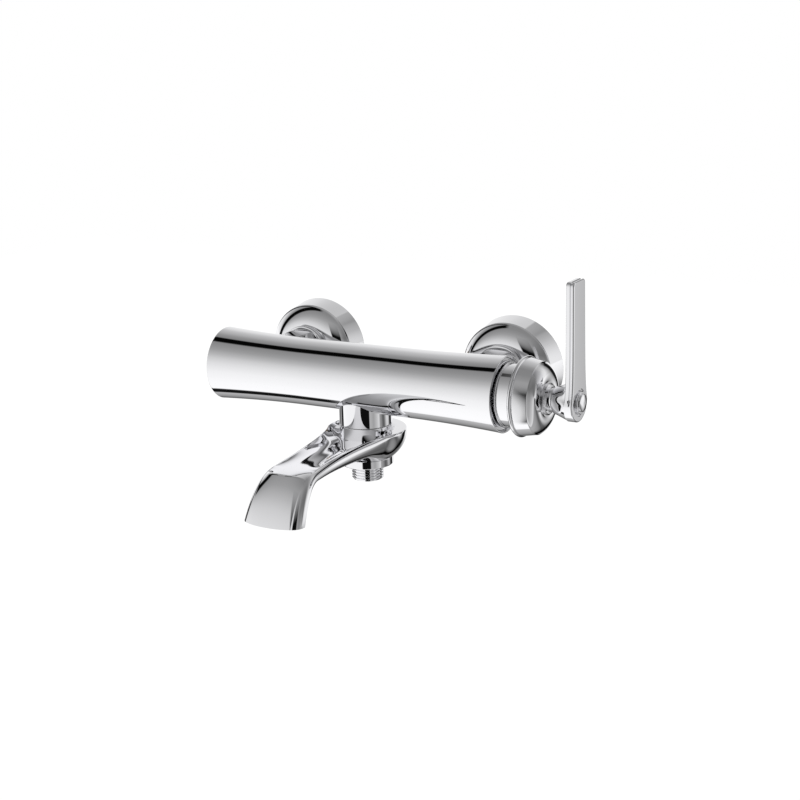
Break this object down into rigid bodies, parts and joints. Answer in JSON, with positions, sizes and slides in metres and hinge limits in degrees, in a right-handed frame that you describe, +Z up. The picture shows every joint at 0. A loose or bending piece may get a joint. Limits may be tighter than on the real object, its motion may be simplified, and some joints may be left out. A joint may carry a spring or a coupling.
{
  "type": "wall mounted bath faucet",
  "caption": "Wall mounted bath mixer: round barrel on two domed wall flanges, upright end lever, curved swivelling spout and hose outlet beneath.",
  "frame": {"origin": "on the wall face, midway between the two inlet pipes", "axes": "+X along the barrel to the lever, +Y into the wall, +Z up"},
  "size_m": [0.266, 0.2094, 0.1409],
  "materials": {
    "polished_chrome": "polished",
    "raw_brass": "satin",
    "black_rubber": "matte",
    "white_plastic": "matte",
    "disc_ceramic": "satin",
    "pin_steel": "satin"
  },
  "bodies": {
    "mixer": {"body_barrel": "polished_chrome", "end_cap": "polished_chrome", "end_cap_seal": "black_rubber", "hot_inlet_block": "raw_brass", "outlet_block": "raw_brass", "valve_seat_block": "raw_brass", "hot_water_tube": "raw_brass", "mixed_water_tube": "raw_brass", "tube_seals": "black_rubber", "inlet_tail_left": "raw_brass", "inlet_tail_right": "raw_brass", "union_nut_left": "polished_chrome", "union_nut_right": "polished_chrome", "filter_washer_left": "black_rubber", "filter_washer_right": "black_rubber", "s_union_left": "raw_brass", "s_union_right": "raw_brass", "escutcheon_left": "polished_chrome", "escutcheon_right": "polished_chrome", "wall_seal_left": "black_rubber", "wall_seal_right": "black_rubber", "cartridge_housing": "white_plastic", "cartridge_base": "white_plastic", "cartridge_seals": "black_rubber", "fixed_disc": "disc_ceramic", "bonnet_nut": "polished_chrome", "bonnet_seal": "black_rubber", "outlet_neck": "polished_chrome", "outlet_column": "raw_brass", "hose_outlet": "polished_chrome", "column_seals": "black_rubber", "glide_ring": "white_plastic"},
    "cartridge_turret": {"turret": "white_plastic", "pivot_pin": "pin_steel"},
    "disc": {"moving_disc": "disc_ceramic", "disc_carrier": "white_plastic"},
    "handle": {"spindle": "pin_steel", "handle_cap": "polished_chrome", "lever": "polished_chrome", "handle_screw": "pin_steel", "index_button": "polished_chrome"},
    "swivel_spout": {"spout": "polished_chrome", "diverter_sleeve": "white_plastic", "flow_insert": "white_plastic"}
  },
  "joints": [
    {"name": "temperature_turn", "type": "hinge", "parent": "mixer", "child": "cartridge_turret", "pos_m": [0.112, -0.0754, 0.0024], "axis": [1, 0, 0], "range_deg": [-50, 50]},
    {"name": "flow_tilt", "type": "hinge", "parent": "cartridge_turret", "child": "handle", "pos_m": [0.112, -0.0754, 0.0024], "axis": [0, 1, 0], "range_deg": [0, 24]},
    {"name": "disc_slide", "type": "slide", "parent": "cartridge_turret", "child": "disc", "axis": [0, 0, 1], "range_m": [0, 0.0038]},
    {"name": "spout_swivel", "type": "hinge", "parent": "mixer", "child": "swivel_spout", "pos_m": [0.003, -0.0754, -0.04], "axis": [0, 0, 1], "range_deg": [-90, 90]}
  ],
  "couplings": [
    {"joint": "disc_slide", "follows": "flow_tilt", "m_per_rad": 0.00874}
  ]
}
